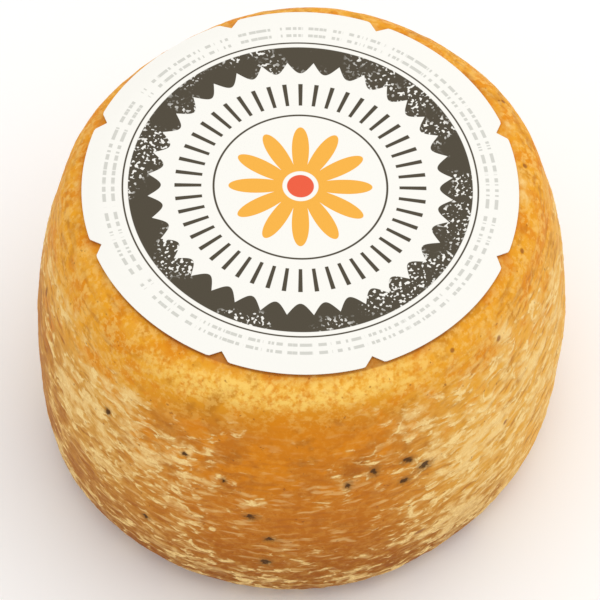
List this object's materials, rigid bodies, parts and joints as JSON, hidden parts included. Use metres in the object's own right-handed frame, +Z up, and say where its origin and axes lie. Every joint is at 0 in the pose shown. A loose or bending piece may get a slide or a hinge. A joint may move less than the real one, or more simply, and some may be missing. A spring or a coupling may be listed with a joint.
{
  "type": "smoked cow milk cheese wheel",
  "caption": "Whole drum-shaped smoked cow milk cheese with a bulging golden rind, rounded edges, a flat base to rest on and a round notched paper label over its top face.",
  "frame": {"origin": "middle of the whole cheese's bounding box at its flat base, on the resting surface", "axes": "+Z up through the wheel from base to label, -Y towards the side that faces the viewer, +X to the viewer's right"},
  "size_m": [0.1824, 0.1798, 0.125],
  "materials": {
    "rind": "satin",
    "label_paper": "matte"
  },
  "bodies": {
    "root": {"cheese_wheel": "rind", "paper_label": "label_paper"}
  },
  "joints": []
}
